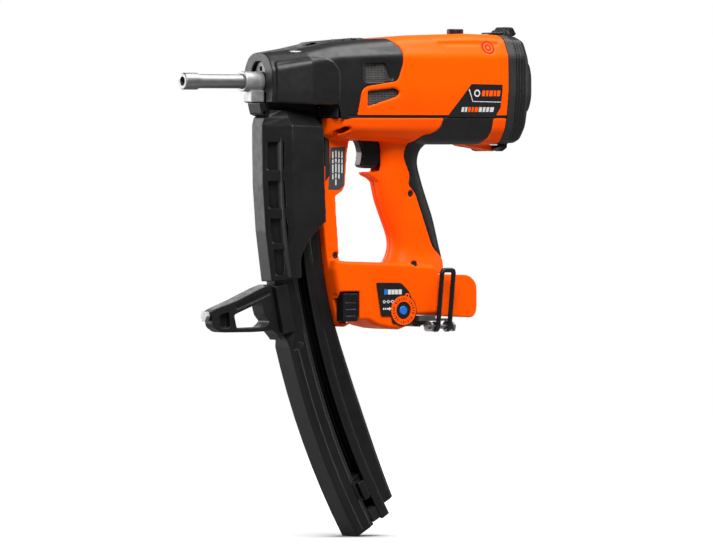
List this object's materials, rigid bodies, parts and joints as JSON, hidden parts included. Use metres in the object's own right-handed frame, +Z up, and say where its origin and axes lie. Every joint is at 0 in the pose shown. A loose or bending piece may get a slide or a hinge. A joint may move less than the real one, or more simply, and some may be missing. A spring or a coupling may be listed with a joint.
{
  "type": "gas-driven pin nailer",
  "caption": "Handheld gas-driven pin nailer with a sliding muzzle probe, a curved hinged magazine with a support foot, a pistol grip, a battery pack and a belt hook.",
  "frame": {"origin": "the middle of the pistol grip, on the tool's centre plane", "axes": "-X out of the muzzle along the drive line, +Z up from the battery to the top cover, so that the operator's left side is -Y"},
  "size_m": [0.416, 0.1018, 0.5368],
  "materials": {
    "orange_plastic": "satin moulded",
    "black_plastic": "fine grain moulded",
    "soft_grip": "soft overmoulded",
    "bright_steel": "polished and plated",
    "cast_metal": "as cast",
    "dark_steel": "blackened",
    "blue_plastic": "gloss moulded",
    "brown_plastic": "gloss moulded",
    "rubber": "moulded",
    "board_green": "lacquered board"
  },
  "bodies": {
    "housing": {"nose_shroud": "black_plastic", "upper_cover": "orange_plastic", "rear_gasket": "rubber", "housing_left": "orange_plastic", "housing_right": "orange_plastic", "grip_pad_left": "soft_grip", "grip_pad_right": "soft_grip", "housing_screw_spine": "dark_steel", "housing_screw_base": "dark_steel", "housing_screw_grip": "dark_steel", "trigger_pin": "bright_steel", "trigger_switch": "black_plastic", "control_panel": "black_plastic", "dial_bezel": "orange_plastic", "hook_bracket": "dark_steel", "hook_pin": "bright_steel", "magazine_dock": "black_plastic", "probe_guide": "cast_metal", "nose_block": "cast_metal", "nose_adapter": "cast_metal", "cylinder": "cast_metal", "bumper": "rubber", "cylinder_head": "cast_metal", "spark_plug": "bright_steel", "fan_motor": "dark_steel", "fuel_cell": "bright_steel", "circuit_board": "board_green", "wire_loom": "rubber", "vent_screen_left": "dark_steel", "vent_screen_right": "dark_steel", "shroud_screw_front": "bright_steel", "shroud_screw_rear": "bright_steel", "cap_hinge_pin": "bright_steel", "return_spring": "bright_steel", "trigger_spring": "bright_steel"},
    "probe": {"probe": "bright_steel", "linkage_yoke": "dark_steel", "combustion_sleeve": "cast_metal"},
    "piston": {"piston": "bright_steel"},
    "fan": {"fan": "dark_steel"},
    "trigger": {"trigger": "black_plastic"},
    "switch_plunger": {"switch_plunger": "bright_steel"},
    "rear_cap": {"rear_cap": "black_plastic", "latch_pin": "bright_steel"},
    "cap_latch": {"cap_latch": "black_plastic"},
    "power_knob": {"power_knob": "black_plastic"},
    "level_button": {"level_button": "blue_plastic"},
    "magazine_release": {"magazine_release": "black_plastic"},
    "battery_pack": {"battery_pack": "orange_plastic"},
    "battery_latch": {"battery_latch": "brown_plastic"},
    "belt_hook": {"belt_hook": "black_plastic"},
    "magazine": {"magazine_body": "black_plastic", "magazine_rail": "black_plastic", "magazine_guard": "black_plastic", "magazine_stop": "black_plastic", "follower_spring": "bright_steel", "support_foot": "black_plastic", "foot_tip": "bright_steel", "foot_clip": "black_plastic"},
    "follower": {"follower": "dark_steel"}
  },
  "joints": [
    {"name": "probe_slide", "type": "slide", "parent": "housing", "child": "probe", "axis": [1, 0, 0], "range_m": [0, 0.025], "stiffness_N_per_m": 900, "springref_m": -0.02, "deforming": ["return_spring"]},
    {"name": "piston_slide", "type": "slide", "parent": "housing", "child": "piston", "axis": [-1, 0, 0], "range_m": [0, 0.09]},
    {"name": "fan_spin", "type": "hinge", "parent": "housing", "child": "fan", "pos_m": [0.0417, 0, 0.1365], "axis": [1, 0, 0], "continuous": true},
    {"name": "trigger_pivot", "type": "hinge", "parent": "housing", "child": "trigger", "pos_m": [-0.045, 0, 0.0825], "axis": [0, -1, 0], "range_deg": [0, 10], "stiffness_Nm_per_rad": 1.5, "springref_deg": -5.73, "deforming": ["trigger_spring"]},
    {"name": "switch_plunger_slide", "type": "slide", "parent": "housing", "child": "switch_plunger", "axis": [1, 0, 0], "range_m": [0, 0.0028]},
    {"name": "rear_cap_hinge", "type": "hinge", "parent": "housing", "child": "rear_cap", "pos_m": [0.099, 0, 0.0673], "axis": [0, 1, 0], "range_deg": [0, 75]},
    {"name": "cap_latch_hinge", "type": "hinge", "parent": "rear_cap", "child": "cap_latch", "pos_m": [0.118, 0, 0.19], "axis": [0, 1, 0], "range_deg": [0, 20]},
    {"name": "power_knob_turn", "type": "hinge", "parent": "housing", "child": "power_knob", "pos_m": [0.0587, 0, 0.1887], "axis": [0, 0, 1], "range_deg": [-90, 90]},
    {"name": "level_button_press", "type": "slide", "parent": "housing", "child": "level_button", "axis": [0, 1, 0], "range_m": [0, 0.001], "stiffness_N_per_m": 800, "springref_m": -0.001},
    {"name": "magazine_release_press", "type": "slide", "parent": "housing", "child": "magazine_release", "axis": [0, 1, 0], "range_m": [0, 0.0025], "stiffness_N_per_m": 1200, "springref_m": -0.002},
    {"name": "battery_slide", "type": "slide", "parent": "housing", "child": "battery_pack", "axis": [1, 0, 0], "range_m": [0, 0.09]},
    {"name": "battery_latch_hinge", "type": "hinge", "parent": "housing", "child": "battery_latch", "pos_m": [-0.007, 0, -0.1125], "axis": [0, 1, 0], "range_deg": [0, 10], "stiffness_Nm_per_rad": 0.4, "springref_deg": -5.73},
    {"name": "belt_hook_hinge", "type": "hinge", "parent": "housing", "child": "belt_hook", "pos_m": [0.019, -0.033, -0.121], "axis": [1, 0, 0], "range_deg": [0, 90]},
    {"name": "magazine_hinge", "type": "hinge", "parent": "housing", "child": "magazine", "pos_m": [-0.191, 0, 0.0995], "axis": [0, 1, 0], "range_deg": [0, 20]},
    {"name": "follower_slide", "type": "hinge", "parent": "magazine", "child": "follower", "pos_m": [0.614, 0, 0.0645], "axis": [0, 1, 0], "range_deg": [0, 22]}
  ],
  "couplings": [
    {"joint": "switch_plunger_slide", "follows": "trigger_pivot", "m_per_rad": 0.016}
  ]
}
